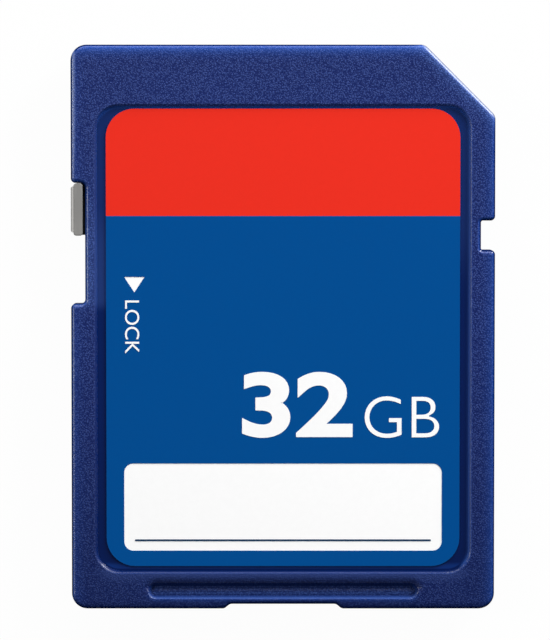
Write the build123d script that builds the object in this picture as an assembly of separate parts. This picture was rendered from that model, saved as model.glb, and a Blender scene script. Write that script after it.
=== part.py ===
from build123d import *
import os

# Full-size memory card: a two-piece moulded housing welded round a circuit board, with a write-lock slider.
# Frame: the card lies on its rear face, X to the right and Y towards the contact end as seen from the front,
# Z up out of the label. The origin is the centre of the rear face. All sizes are in millimetres.

# Card outline
CARD_WIDTH = 24.0
CARD_LENGTH = 32.0
CARD_THICKNESS = 2.1
CORNER_RADIUS = 0.9
CUT_CORNER = 4.0
CUT_CORNER_RADIUS = 0.5
FRONT_EDGE_ROUND = 0.24
END_ROLL_LENGTH = 0.48
END_ROLL_DROP = 0.09
REAR_EDGE_ROUND = 0.2

# Depths below the front face, which is the datum that a card slot works from
PARTING_DEPTH = 0.7
RAIL_THICKNESS = 1.4
CONTACT_PLANE_DEPTH = 1.4

# Side rails and the weld seam
RAIL_WIDTH = 0.75
RAIL_EDGE_BREAK = 0.12
SEAM_GROOVE = 0.04

# Lock notch on the left and latch notch on the right, measured from the contact end
LOCK_NOTCH_START = 7.8
LOCK_NOTCH_LENGTH = 6.84
LOCK_NOTCH_DEPTH = 0.8
LATCH_NOTCH_START = 9.93
LATCH_NOTCH_LENGTH = 1.67
LATCH_NOTCH_DEPTH = 0.8
NOTCH_MOUTH_RADIUS = 0.26
LOCK_NOTCH_ROOT_RADIUS = 0.26
LATCH_NOTCH_ROOT_RADIUS = 0.12

# Shallow notch in the lower edge, where the mould's gate was trimmed
GATE_NOTCH_MOUTH = 6.66
GATE_NOTCH_FLOOR = 6.03
GATE_NOTCH_DEPTH = 0.27
GATE_NOTCH_RADIUS = 0.32

# Label and its recess in the front face
RECESS_SIDE_MARGIN = 1.35
RECESS_CONTACT_MARGIN = 3.37
RECESS_REAR_MARGIN = 2.06
RECESS_DEPTH = 0.18
RECESS_RADIUS = 1.35
RECESS_WALL_RUN = 0.14
RECESS_RIM_ROUND = 0.12
FRONT_SKIN = 0.22
LABEL_SIDE_GAP = 0.635
LABEL_CONTACT_GAP = 0.24
LABEL_REAR_GAP = 0.385
LABEL_RADIUS = 1.62
FILM_THICKNESS = 0.05

# Print on the white label film: a red band over a blue field, which leaves a writing panel and an arrow white
PRINT_THICKNESS = 0.015
RED_BAND_HEIGHT = 6.055
PANEL_SIDE_MARGIN = 1.0
PANEL_REAR_MARGIN = 0.88
PANEL_HEIGHT = 4.965
PANEL_RADIUS = 0.52
WRITING_LINE_INSET = 0.62
WRITING_LINE_THICKNESS = 0.1
WRITING_LINE_RISE = 0.54
ARROW_WIDTH = 1.16
ARROW_HEIGHT = 0.88
ARROW_SIDE_MARGIN = 1.6
ARROW_DROP = 3.45

# Finger groove between the recess and the lower edge
GROOVE_LENGTH = 15.35
GROOVE_HEIGHT = 0.9
GROOVE_DEPTH = 0.24
GROOVE_WALL_RUN = 0.18
GROOVE_RIM_ROUND = 0.08
GROOVE_REAR_MARGIN = 0.57

# Lock slider: knob in the notch, neck through the wall, flange in a pocket between the shells
KNOB_LENGTH = 2.96
KNOB_END_CLEARANCE = 0.02
KNOB_WALL_GAP = 0.125
KNOB_FACE_SETBACK = 0.06
KNOB_ROUND = 0.16
KNOB_EDGE_BREAK = 0.04
FINGER_RIDGE_PROUD = 0.15
FINGER_RIDGE_LENGTH = 2.6
FINGER_RIDGE_INSET = 0.04
FINGER_RIDGE_SLOPE = 0.07
FINGER_RIDGE_BEVEL = 0.08
SLOT_WALL = 0.45
NECK_LENGTH = 2.9
NECK_THICKNESS = 0.25
FLANGE_LENGTH = 2.6
FLANGE_WIDTH = 0.5
FLANGE_THICKNESS = 0.6
SLIDE_CLEARANCE = 0.05
POCKET_WALL = 0.4

# Circuit board, and the lip of the front shell that locates the shells and holds the board down
BOARD_THICKNESS = 0.4
BOARD_SIDE_MARGIN = 1.45
BOARD_CONTACT_MARGIN = 0.9
BOARD_REAR_MARGIN = 1.4
BOARD_CORNER_WALL = 0.9
BOARD_CORNER_RADIUS = 0.4
BOARD_CLEARANCE = 0.1
LIP_CLEARANCE = 0.05
LIP_WIDTH = 0.4
LIP_BOARD_GAP = 0.02

# Contacts and their windows in the rear shell. The first ones lie at an even pitch, and contact 9 lies before
# contact 1, by the cut corner
EVENLY_SPACED_CONTACTS = 6
CONTACT_PITCH = 2.5
CONTACT_1_OFFSET = 6.875
CONTACT_6_TO_7 = 2.425
CONTACT_7_TO_8 = 1.7
CONTACT_WIDTH = 1.7
CONTACT_7_WIDTH = 1.4
CONTACT_8_WIDTH = 1.1
CONTACT_START = 1.1
CONTACT_LENGTH = 5.8
CONTACT_9_SHIFT = 1.6
CONTACT_THICKNESS = 0.05
CONTACT_CORNER_RADIUS = 0.2
WINDOW_SIDE_GAP = 0.1
WINDOW_REAR_GAP = 0.3
WINDOW_CORNER_RADIUS = 0.25
LEAD_IN_RUN = 0.35
LEAD_IN_RISE = 0.25

# Rear wall and the cored-out pockets that keep its thickness even
REAR_WALL = 0.3
CORE_SIDE_WALL = 1.3
CORE_COLUMNS = 2
CORE_ROWS = 2
CORE_RIB = 0.8

# Chips and small parts on the front side of the board
CHIP_HEADROOM = 0.07
CHIP_EDGE_BREAK = 0.06
PIN_MARK_RADIUS = 0.4
PIN_MARK_DEPTH = 0.05
PIN_MARK_INSET = 1.1
FLASH_WIDTH = 11.5
FLASH_LENGTH = 13.5
FLASH_REAR_GAP = 2.2
CONTROLLER_SIZE = 6.0
CONTROLLER_OFFSET = 2.4
CONTROLLER_END_GAP = 4.2
SMALL_PART_COUNT = 4
SMALL_PART_LENGTH = 1.0
SMALL_PART_WIDTH = 0.5
SMALL_PART_PITCH = 1.1
SMALL_PART_GAP = 0.9
SMALL_PART_ROW_GAP = 1.2
CAPACITOR_HEIGHT = 0.4
RESISTOR_HEIGHT = 0.3
TERMINAL_LENGTH = 0.25
TERMINAL_PROUD = 0.03

# Heights that follow from the depths
FRONT = CARD_THICKNESS
PARTING = FRONT - PARTING_DEPTH
RAIL_LOW = FRONT - RAIL_THICKNESS
RECESS_FLOOR = FRONT - RECESS_DEPTH
CEILING = RECESS_FLOOR - FRONT_SKIN
FILM_HIGH = RECESS_FLOOR + FILM_THICKNESS
CONTACT_LOW = FRONT - CONTACT_PLANE_DEPTH
BOARD_LOW = CONTACT_LOW + CONTACT_THICKNESS
BOARD_HIGH = BOARD_LOW + BOARD_THICKNESS
CHIP_HIGH = CEILING - CHIP_HEADROOM

# Places that follow from the outline
SIDE = CARD_WIDTH / 2
CONTACT_END = CARD_LENGTH / 2
REAR_END = -CARD_LENGTH / 2
NOTCH_WALL = LOCK_NOTCH_DEPTH - SIDE
POCKET_OUTER = NOTCH_WALL + SLOT_WALL
POCKET_INNER = POCKET_OUTER + FLANGE_WIDTH + 2 * SLIDE_CLEARANCE
BOARD_SIDE = SIDE - BOARD_SIDE_MARGIN
BOARD_FRONT_END = CONTACT_END - BOARD_CONTACT_MARGIN
BOARD_REAR_END = REAR_END + BOARD_REAR_MARGIN
LABEL_SIDE = SIDE - RECESS_SIDE_MARGIN - LABEL_SIDE_GAP
LABEL_TOP = CONTACT_END - RECESS_CONTACT_MARGIN - LABEL_CONTACT_GAP
LABEL_FOOT = REAR_END + RECESS_REAR_MARGIN + LABEL_REAR_GAP
RED_FOOT = LABEL_TOP - RED_BAND_HEIGHT
PANEL_FOOT = LABEL_FOOT + PANEL_REAR_MARGIN

# Travel of the lock slider, from unlocked (as modelled) to locked
LOCK_TRAVEL = LOCK_NOTCH_LENGTH - KNOB_LENGTH - 2 * KNOB_END_CLEARANCE
KNOB_CENTRE = CONTACT_END - LOCK_NOTCH_START - KNOB_END_CLEARANCE - KNOB_LENGTH / 2

# Overshoot of cutting shapes, how near a corner has to be to count as the one named, and a square's diagonal
PAST = 1.0
NEAR = 0.01
DIAGONAL = 2**0.5


def prism(sketch, low, high):
    """Solid between two heights with the sketch as its plan."""
    return extrude(Pos(0, 0, low) * sketch, amount=high - low, dir=(0, 0, 1))


def block(x_range, y_range, z_range):
    """Box given by its limits."""
    (x_low, x_high), (y_low, y_high), (z_low, z_high) = x_range, y_range, z_range
    middle = ((x_low + x_high) / 2, (y_low + y_high) / 2, (z_low + z_high) / 2)
    return Pos(*middle) * Box(x_high - x_low, y_high - y_low, z_high - z_low)


def plate(x_range, y_range):
    """Rectangle given by its limits."""
    (x_low, x_high), (y_low, y_high) = x_range, y_range
    middle = ((x_low + x_high) / 2, (y_low + y_high) / 2)
    return Pos(*middle) * Rectangle(x_high - x_low, y_high - y_low)


def round_corners(sketch, points, radius):
    """Rounds those corners of a flat outline that lie at the given points."""
    targets = [Vector(x, y) for x, y in points]
    corners = [
        vertex
        for vertex in sketch.vertices()
        if any((Vector(vertex.X, vertex.Y) - target).length < NEAR for target in targets)
    ]
    return fillet(corners, radius)


def sloped_pocket(top, floor, low, high):
    """Cutting shape whose walls run straight from one outline at the top to a smaller one at the floor."""
    return loft([Pos(0, 0, low) * floor, Pos(0, 0, high) * top], ruled=True)


def card_plate(half_width):
    """Card outline of the given half width, with its rounded corners and its cut corner, before any notch."""
    cut = CUT_CORNER - (SIDE - half_width)
    sheet = plate((-half_width, half_width), (REAR_END, CONTACT_END))
    far_corner = sheet.vertices().sort_by(lambda vertex: vertex.X + vertex.Y)[-1]
    sheet = chamfer(far_corner, cut)
    square_corners = [
        (-half_width, CONTACT_END),
        (-half_width, REAR_END),
        (half_width, REAR_END),
    ]
    cut_corners = [(half_width - cut, CONTACT_END), (half_width, CONTACT_END - cut)]
    sheet = round_corners(sheet, square_corners, CORNER_RADIUS)
    return round_corners(sheet, cut_corners, CUT_CORNER_RADIUS)


def gate_notch(sheet):
    """Outline with the shallow notch cut into its lower edge."""
    mouth, floor = GATE_NOTCH_MOUTH / 2, GATE_NOTCH_FLOOR / 2
    root = REAR_END + GATE_NOTCH_DEPTH
    side_points = [(floor, root), (mouth, REAR_END), (mouth, REAR_END - PAST)]
    mirrored = [(-x, y) for x, y in reversed(side_points)]
    sheet -= make_face(Polyline(*side_points, *mirrored, close=True))
    corners = side_points[:2] + mirrored[1:]
    return round_corners(sheet, corners, GATE_NOTCH_RADIUS)


def side_notch(sheet, side, start, length, depth, root_radius):
    """Outline with a square notch cut into one side, measured from the contact end."""
    top, bottom = CONTACT_END - start, CONTACT_END - start - length
    outer, inner = side * SIDE, side * (SIDE - depth)
    sheet -= plate(sorted((inner, outer + side * PAST)), (bottom, top))
    sheet = round_corners(sheet, [(outer, top), (outer, bottom)], NOTCH_MOUTH_RADIUS)
    return round_corners(sheet, [(inner, top), (inner, bottom)], root_radius)


def card_outline():
    """Full outline of the card, with both side notches and the gate notch."""
    lock_notch = (LOCK_NOTCH_START, LOCK_NOTCH_LENGTH, LOCK_NOTCH_DEPTH, LOCK_NOTCH_ROOT_RADIUS)
    latch_notch = (LATCH_NOTCH_START, LATCH_NOTCH_LENGTH, LATCH_NOTCH_DEPTH, LATCH_NOTCH_ROOT_RADIUS)
    sheet = gate_notch(card_plate(SIDE))
    sheet = side_notch(sheet, -1, *lock_notch)
    return side_notch(sheet, 1, *latch_notch)


def seam_groove():
    """Fine step round the rear shell that leaves a groove along the weld between the two shells."""
    outline = card_outline()
    ring = outline - offset(outline, amount=-SEAM_GROOVE)
    return prism(ring, PARTING - SEAM_GROOVE, PARTING)


def slide_length(piece_length):
    """Lower and upper end of the room that a piece of the slider needs over its travel."""
    reach = piece_length / 2 + SLIDE_CLEARANCE
    return (KNOB_CENTRE - LOCK_TRAVEL - reach, KNOB_CENTRE + reach)


def slider_track():
    """Slot through the notch wall and the wider pocket behind it, centred on the parting line."""
    neck_reach = NECK_THICKNESS / 2 + SLIDE_CLEARANCE
    flange_reach = FLANGE_THICKNESS / 2 + SLIDE_CLEARANCE
    slot = block(
        (NOTCH_WALL - KNOB_WALL_GAP, POCKET_OUTER),
        slide_length(NECK_LENGTH),
        (PARTING - neck_reach, PARTING + neck_reach),
    )
    pocket = block(
        (POCKET_OUTER, POCKET_INNER),
        slide_length(FLANGE_LENGTH),
        (PARTING - flange_reach, PARTING + flange_reach),
    )
    return slot + pocket


def board_outline():
    """Board outline: a plate with one cut corner and a cut-out that leaves room for the slider's pocket."""
    cut_line = SIDE + CONTACT_END - CUT_CORNER - BOARD_CORNER_WALL * DIAGONAL
    cut = BOARD_SIDE + BOARD_FRONT_END - cut_line
    sheet = plate((-BOARD_SIDE, BOARD_SIDE), (BOARD_REAR_END, BOARD_FRONT_END))
    far_corner = sheet.vertices().sort_by(lambda vertex: vertex.X + vertex.Y)[-1]
    sheet = chamfer(far_corner, cut)
    pocket_low, pocket_high = slide_length(FLANGE_LENGTH)
    low, high = pocket_low - POCKET_WALL, pocket_high + POCKET_WALL
    edge = POCKET_INNER + POCKET_WALL + BOARD_CLEARANCE
    sheet -= plate((-BOARD_SIDE - PAST, edge), (low, high))
    corners = [
        (-BOARD_SIDE, BOARD_FRONT_END),
        (-BOARD_SIDE, BOARD_REAR_END),
        (BOARD_SIDE, BOARD_REAR_END),
        (edge, low),
        (edge, high),
    ]
    return round_corners(sheet, corners, BOARD_CORNER_RADIUS)


def rounded_plate(half_width, y_range, radius):
    """Rectangle with rounded corners, centred across the card."""
    low, high = y_range
    return Pos(0, (low + high) / 2) * RectangleRounded(2 * half_width, high - low, radius)


def recess_outline(inset):
    """Outline of the label recess, drawn in from its rim by the given distance."""
    half_width = SIDE - RECESS_SIDE_MARGIN - inset
    low = REAR_END + RECESS_REAR_MARGIN + inset
    high = CONTACT_END - RECESS_CONTACT_MARGIN - inset
    return rounded_plate(half_width, (low, high), RECESS_RADIUS - inset)


def recess_cut():
    """Label recess with sloped walls."""
    return sloped_pocket(recess_outline(0), recess_outline(RECESS_WALL_RUN), RECESS_FLOOR, FRONT)


def groove_cut():
    """Finger groove with round ends and sloped walls."""
    middle = REAR_END + GROOVE_REAR_MARGIN + GROOVE_HEIGHT / 2
    run = 2 * GROOVE_WALL_RUN
    top = Pos(0, middle) * SlotOverall(GROOVE_LENGTH, GROOVE_HEIGHT)
    floor = Pos(0, middle) * SlotOverall(GROOVE_LENGTH - run, GROOVE_HEIGHT - run)
    return sloped_pocket(top, floor, FRONT - GROOVE_DEPTH, FRONT)


def end_roll(end):
    """Cut that lets the front face roll off gently towards one end of the card."""
    radius = (END_ROLL_LENGTH**2 + END_ROLL_DROP**2) / (2 * END_ROLL_DROP)
    start = (end * (CONTACT_END - END_ROLL_LENGTH), FRONT)
    corner = (end * CONTACT_END, FRONT)
    edge = (end * CONTACT_END, FRONT - END_ROLL_DROP)
    section = make_face(RadiusArc(start, edge, end * radius) + Polyline(edge, corner, start))
    return extrude(Plane.YZ * section, amount=SIDE, both=True)


def front_rim(shell):
    """Outer edges of the front face and of its rolled ends."""
    skin = [face for face in shell.faces() if face.center().Z > FRONT - END_ROLL_DROP]
    edges = [edge for face in skin for edge in face.edges()]
    return [edge for edge in edges if sum(edge.is_same(other) for other in edges) == 1]


def pocket_rims(shell):
    """Rims of the pockets in the front face, the longest first."""
    front_face = shell.faces().filter_by(Axis.Z).sort_by(Axis.Z)[-1]
    return front_face.inner_wires().sort_by(SortBy.LENGTH, reverse=True)


def front_shell():
    """Front half of the housing: rounded rim, label recess, finger groove, hollow inside and locating lip."""
    shell = prism(card_outline(), PARTING, FRONT) - end_roll(-1) - end_roll(1)
    shell = fillet(front_rim(shell), FRONT_EDGE_ROUND)
    shell -= recess_cut()
    shell -= groove_cut()
    shell = fillet(pocket_rims(shell)[0].edges(), RECESS_RIM_ROUND)
    shell = fillet(pocket_rims(shell)[-1].edges(), GROOVE_RIM_ROUND)

    bed = offset(board_outline(), amount=BOARD_CLEARANCE)
    lip_outer = offset(bed, amount=-LIP_CLEARANCE)
    hollow = offset(lip_outer, amount=-LIP_WIDTH)
    shell -= prism(hollow, PARTING, CEILING)
    shell += prism(lip_outer - hollow, BOARD_HIGH + LIP_BOARD_GAP, PARTING)
    return shell - slider_track()


def contact_places():
    """Number, centre across the card, width and distance from the contact end of every contact."""
    places = [
        (number, CONTACT_1_OFFSET - (number - 1) * CONTACT_PITCH, CONTACT_WIDTH, CONTACT_START)
        for number in range(1, EVENLY_SPACED_CONTACTS + 1)
    ]
    seventh = places[-1][1] - CONTACT_6_TO_7
    places.append((7, seventh, CONTACT_7_WIDTH, CONTACT_START))
    places.append((8, seventh - CONTACT_7_TO_8, CONTACT_8_WIDTH, CONTACT_START))
    ninth = CONTACT_1_OFFSET + CONTACT_PITCH
    places.append((9, ninth, CONTACT_WIDTH, CONTACT_START + CONTACT_9_SHIFT))
    return places


def window_spans():
    """Left, right and rear limits of every contact window. Contacts 7 and 8 share one."""
    spans = {}
    for number, centre, width, start in contact_places():
        reach = width / 2 + WINDOW_SIDE_GAP
        rear = CONTACT_END - start - CONTACT_LENGTH - WINDOW_REAR_GAP
        spans[number] = (centre - reach, centre + reach, rear)
    left, _, rear = spans.pop(8)
    spans[7] = (left, spans[7][1], rear)
    return list(spans.values())


def contact_windows():
    """Windows for the contacts, open at the contact end, each with a sloped lead-in under the front wall."""
    cuts = []
    for left, right, rear in window_spans():
        window = plate((left, right), (rear, CONTACT_END + PAST))
        window = round_corners(window, [(left, rear), (right, rear)], WINDOW_CORNER_RADIUS)
        cuts.append(prism(window, -PAST, BOARD_LOW))
        slope = make_face(
            Polyline(
                (CONTACT_END - LEAD_IN_RUN, BOARD_LOW),
                (CONTACT_END, BOARD_LOW + LEAD_IN_RISE),
                (CONTACT_END, BOARD_LOW),
                close=True,
            )
        )
        cuts.append(Plane.YZ.offset(left) * extrude(slope, amount=right - left))
    return cuts


def core_pockets():
    """Pockets cored out of the rear wall behind the contact windows, with ribs between them."""
    left = -BOARD_SIDE + CORE_SIDE_WALL
    low = BOARD_REAR_END + CORE_SIDE_WALL
    high = min(rear for _, _, rear in window_spans()) - CORE_SIDE_WALL
    width = (-2 * left - (CORE_COLUMNS - 1) * CORE_RIB) / CORE_COLUMNS
    height = (high - low - (CORE_ROWS - 1) * CORE_RIB) / CORE_ROWS
    corners = [
        (left + column * (width + CORE_RIB), low + row * (height + CORE_RIB))
        for row in range(CORE_ROWS)
        for column in range(CORE_COLUMNS)
    ]
    return [block((x, x + width), (y, y + height), (REAR_WALL, BOARD_LOW)) for x, y in corners]


def rail_edge_breaks():
    """Small bevel along the lower outer edge of each side rail."""
    cuts = []
    for side in (-1, 1):
        corner = make_face(
            Polyline(
                (side * SIDE, RAIL_LOW),
                (side * (SIDE - RAIL_EDGE_BREAK), RAIL_LOW),
                (side * SIDE, RAIL_LOW + RAIL_EDGE_BREAK),
                close=True,
            )
        )
        bar = extrude(Plane.XZ * corner, amount=CARD_LENGTH / 2, both=True)
        cuts.append(bar)
    return cuts


def rear_shell():
    """Rear half of the housing: side rails, raised back, contact windows and the bed of the board."""
    back = prism(gate_notch(card_plate(SIDE - RAIL_WIDTH)), 0, RAIL_LOW)
    back = fillet(back.faces().sort_by(Axis.Z)[0].outer_wire().edges(), REAR_EDGE_ROUND)
    shell = prism(card_outline(), RAIL_LOW, PARTING) + back
    bed = offset(board_outline(), amount=BOARD_CLEARANCE)
    cuts = [prism(bed, BOARD_LOW, PARTING), slider_track(), seam_groove()]
    for cut in cuts + contact_windows() + core_pockets() + rail_edge_breaks():
        shell -= cut
    return shell


def lock_slider():
    """Slider in one piece: knob with a finger ridge, neck through the notch wall, and flange behind it."""
    knob_outer = FINGER_RIDGE_PROUD - SIDE
    knob_inner = NOTCH_WALL - KNOB_WALL_GAP
    low, high = RAIL_LOW + KNOB_FACE_SETBACK, FRONT - KNOB_FACE_SETBACK
    length = (KNOB_CENTRE - KNOB_LENGTH / 2, KNOB_CENTRE + KNOB_LENGTH / 2)
    knob = block((knob_outer, knob_inner), length, (low, high))
    knob = fillet(knob.edges().filter_by(Axis.Z), KNOB_ROUND)
    faces = knob.faces().filter_by(Axis.Z)
    knob = chamfer([edge for face in faces for edge in face.edges()], KNOB_EDGE_BREAK)

    middle = (knob_outer + knob_inner) / 2
    root_low, root_high = low + FINGER_RIDGE_INSET, high - FINGER_RIDGE_INSET
    section = make_face(
        Polyline(
            (middle, root_low),
            (knob_outer, root_low),
            (-SIDE, root_low + FINGER_RIDGE_SLOPE),
            (-SIDE, root_high - FINGER_RIDGE_SLOPE),
            (knob_outer, root_high),
            (middle, root_high),
            close=True,
        )
    )
    ridge = Pos(0, KNOB_CENTRE, 0) * extrude(Plane.XZ * section, amount=FINGER_RIDGE_LENGTH / 2, both=True)
    ridge = chamfer(ridge.faces().sort_by(Axis.X)[0].edges().filter_by(Axis.Z), FINGER_RIDGE_BEVEL)

    flange_outer = POCKET_OUTER + SLIDE_CLEARANCE
    neck_length = (KNOB_CENTRE - NECK_LENGTH / 2, KNOB_CENTRE + NECK_LENGTH / 2)
    neck_height = (PARTING - NECK_THICKNESS / 2, PARTING + NECK_THICKNESS / 2)
    neck = block((middle, flange_outer), neck_length, neck_height)
    flange = block(
        (flange_outer, flange_outer + FLANGE_WIDTH),
        (KNOB_CENTRE - FLANGE_LENGTH / 2, KNOB_CENTRE + FLANGE_LENGTH / 2),
        (PARTING - FLANGE_THICKNESS / 2, PARTING + FLANGE_THICKNESS / 2),
    )
    return knob + ridge + neck + flange


def label_outline():
    """Outline that the label film is cut to."""
    return rounded_plate(LABEL_SIDE, (LABEL_FOOT, LABEL_TOP), LABEL_RADIUS)


def arrow_outline():
    """Arrow head beside the lock slider, pointing the way the slider locks."""
    middle, top = ARROW_SIDE_MARGIN - LABEL_SIDE, RED_FOOT - ARROW_DROP
    reach = ARROW_WIDTH / 2
    corners = [(middle - reach, top), (middle, top - ARROW_HEIGHT), (middle + reach, top)]
    return make_face(Polyline(*corners, close=True))


def label_print():
    """Ink layers on the label film, by name."""
    band = plate((-LABEL_SIDE, LABEL_SIDE), (RED_FOOT, LABEL_TOP))
    panel_side = LABEL_SIDE - PANEL_SIDE_MARGIN
    panel = rounded_plate(panel_side, (PANEL_FOOT, PANEL_FOOT + PANEL_HEIGHT), PANEL_RADIUS)
    line_foot = PANEL_FOOT + WRITING_LINE_RISE
    line_reach = panel_side - WRITING_LINE_INSET
    fields = {
        "red_print": label_outline() & band,
        "blue_print": label_outline() - band - panel - arrow_outline(),
        "writing_line": plate((-line_reach, line_reach), (line_foot, line_foot + WRITING_LINE_THICKNESS)),
    }
    return {name: prism(field, FILM_HIGH, FILM_HIGH + PRINT_THICKNESS) for name, field in fields.items()}


def contact_pads():
    """Gold-plated pads on the rear side of the board, by name."""
    pads = {}
    for number, centre, width, start in contact_places():
        middle = CONTACT_END - start - CONTACT_LENGTH / 2
        pad = Pos(centre, middle) * RectangleRounded(width, CONTACT_LENGTH, CONTACT_CORNER_RADIUS)
        pads[f"contact_{number}"] = prism(pad, CONTACT_LOW, BOARD_LOW)
    return pads


def chip(centre, width, length):
    """Moulded chip package on the board, with a bevelled top edge and a round pin mark."""
    x, y = centre
    body = prism(Pos(x, y) * Rectangle(width, length), BOARD_HIGH, CHIP_HIGH)
    body = chamfer(body.faces().sort_by(Axis.Z)[-1].edges(), CHIP_EDGE_BREAK)
    mark = Pos(x - width / 2 + PIN_MARK_INSET, y + length / 2 - PIN_MARK_INSET) * Circle(PIN_MARK_RADIUS)
    return body - prism(mark, CHIP_HIGH - PIN_MARK_DEPTH, CHIP_HIGH + PAST)


def chip_centres():
    """Centres of the flash package, near the lower end, and of the controller, behind the contacts."""
    flash_middle = BOARD_REAR_END + FLASH_REAR_GAP + FLASH_LENGTH / 2
    controller_middle = BOARD_FRONT_END - CONTROLLER_END_GAP - CONTROLLER_SIZE / 2
    return (0, flash_middle), (CONTROLLER_OFFSET, controller_middle)


def small_part(centre, height):
    """Capacitor or resistor: a ceramic body with a metal terminal wrapped over each end."""
    x, y = centre
    half_width, half_length = SMALL_PART_WIDTH / 2, SMALL_PART_LENGTH / 2
    across = (x - half_width, x + half_width)
    part = block(across, (y - half_length, y + half_length), (BOARD_HIGH, BOARD_HIGH + height))
    wrapped = (across[0] - TERMINAL_PROUD, across[1] + TERMINAL_PROUD)
    for end in (-1, 1):
        span = sorted((y + end * half_length, y + end * (half_length - TERMINAL_LENGTH)))
        part += block(wrapped, span, (BOARD_HIGH, BOARD_HIGH + height + TERMINAL_PROUD))
    return part


def small_parts():
    """A row of capacitors and a row of resistors beside the controller, by name."""
    _, (controller_x, controller_y) = chip_centres()
    first = controller_x - CONTROLLER_SIZE / 2 - SMALL_PART_GAP - SMALL_PART_WIDTH / 2
    row_step = (SMALL_PART_LENGTH + SMALL_PART_ROW_GAP) / 2
    parts = {}
    for index in range(SMALL_PART_COUNT):
        x = first - index * SMALL_PART_PITCH
        parts[f"capacitor_{index + 1}"] = small_part((x, controller_y + row_step), CAPACITOR_HEIGHT)
        parts[f"resistor_{index + 1}"] = small_part((x, controller_y - row_step), RESISTOR_HEIGHT)
    return parts


def all_parts():
    """Every piece of the card, by node name."""
    flash_centre, controller_centre = chip_centres()
    return {
        "front_shell": front_shell(),
        "rear_shell": rear_shell(),
        "lock_slider": lock_slider(),
        "front_label": prism(label_outline(), RECESS_FLOOR, FILM_HIGH),
        "circuit_board": prism(board_outline(), BOARD_LOW, BOARD_HIGH),
        "flash_package": chip(flash_centre, FLASH_WIDTH, FLASH_LENGTH),
        "controller_package": chip(controller_centre, CONTROLLER_SIZE, CONTROLLER_SIZE),
        **label_print(),
        **contact_pads(),
        **small_parts(),
    }


os.makedirs("parts", exist_ok=True)
for node, shape in all_parts().items():
    export_step(shape, f"parts/{node}.step")
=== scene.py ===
"""Looks of a memory card: finishes, printed lettering, solder, stage, lights and camera.

Lengths are in metres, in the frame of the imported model: the card lies on its rear face, its label looks up
(+Z), its contact end points to +Y and its lock slider is on the -X side. Zones of a finish are in
millimetres.
"""

import math

import bmesh
import bpy
from bpy.props import FloatProperty, FloatVectorProperty, PointerProperty, StringProperty
from mathutils import Matrix, Vector


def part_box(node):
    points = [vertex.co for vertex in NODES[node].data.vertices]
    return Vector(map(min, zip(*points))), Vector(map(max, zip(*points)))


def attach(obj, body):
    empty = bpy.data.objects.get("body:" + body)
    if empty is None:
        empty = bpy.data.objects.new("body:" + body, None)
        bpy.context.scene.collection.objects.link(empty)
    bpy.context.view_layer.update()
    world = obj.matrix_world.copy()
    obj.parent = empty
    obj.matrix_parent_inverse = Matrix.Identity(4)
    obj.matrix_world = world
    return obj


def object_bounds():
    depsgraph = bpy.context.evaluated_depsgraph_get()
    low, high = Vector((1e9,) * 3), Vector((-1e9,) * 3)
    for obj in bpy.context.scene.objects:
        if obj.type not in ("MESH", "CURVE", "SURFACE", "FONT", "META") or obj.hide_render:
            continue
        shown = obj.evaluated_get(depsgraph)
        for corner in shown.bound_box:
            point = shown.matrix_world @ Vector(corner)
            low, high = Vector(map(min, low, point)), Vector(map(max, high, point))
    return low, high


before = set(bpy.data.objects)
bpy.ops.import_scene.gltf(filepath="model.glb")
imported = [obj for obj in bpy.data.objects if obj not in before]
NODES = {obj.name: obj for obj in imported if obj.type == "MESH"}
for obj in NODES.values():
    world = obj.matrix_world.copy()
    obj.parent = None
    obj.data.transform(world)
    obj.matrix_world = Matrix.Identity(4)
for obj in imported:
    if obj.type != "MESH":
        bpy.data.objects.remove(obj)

bl_info = {
    "name": "Memory card looks",
    "version": (1, 0, 0),
    "blender": (4, 5, 0),
    "location": "View3D > Sidebar > Memory card",
    "description": "Finishes, lettering, solder and studio of a memory card with a lock slider",
    "category": "Object",
}

CAD_LOW, CAD_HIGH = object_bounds()
MM = 0.001
PER_MM = 1000.0
QUARTER_TURN = math.pi / 2
MERGE = 1e-7

CARD = "card"
SHELLS = ("front_shell", "rear_shell")
CONTACTS = tuple(f"contact_{number}" for number in range(1, 10))
CHIPS = ("flash_package", "controller_package")
CAPACITORS = tuple(f"capacitor_{number}" for number in range(1, 5))
RESISTORS = tuple(f"resistor_{number}" for number in range(1, 5))


def srgb(red, green, blue):
    """A screen colour, 0 to 255, as the linear colour that shaders take."""
    shares = [channel / 255.0 for channel in (red, green, blue)]
    return tuple(s / 12.92 if s <= 0.04045 else ((s + 0.055) / 1.055) ** 2.4 for s in shares)


def scaled(colour, share):
    """A colour with every channel times share."""
    return tuple(channel * share for channel in colour)


def colour_property(name, description, default):
    return FloatVectorProperty(
        name=name, description=description, subtype="COLOR", size=3, min=0.0, max=1.0, default=default
    )


def place_property(name, description, default, **limits):
    kind = {"subtype": "DISTANCE", "unit": "LENGTH", "precision": 6}
    return FloatProperty(name=name, description=description, default=default, **kind, **limits)


def length_property(name, description, default):
    return place_property(name, description, default, min=0.0)


def share_property(name, description, default):
    return FloatProperty(
        name=name, description=description, subtype="FACTOR", min=0.0, max=1.0, default=default
    )


def number_property(name, description, default):
    return FloatProperty(name=name, description=description, min=0.0, default=default)


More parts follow.
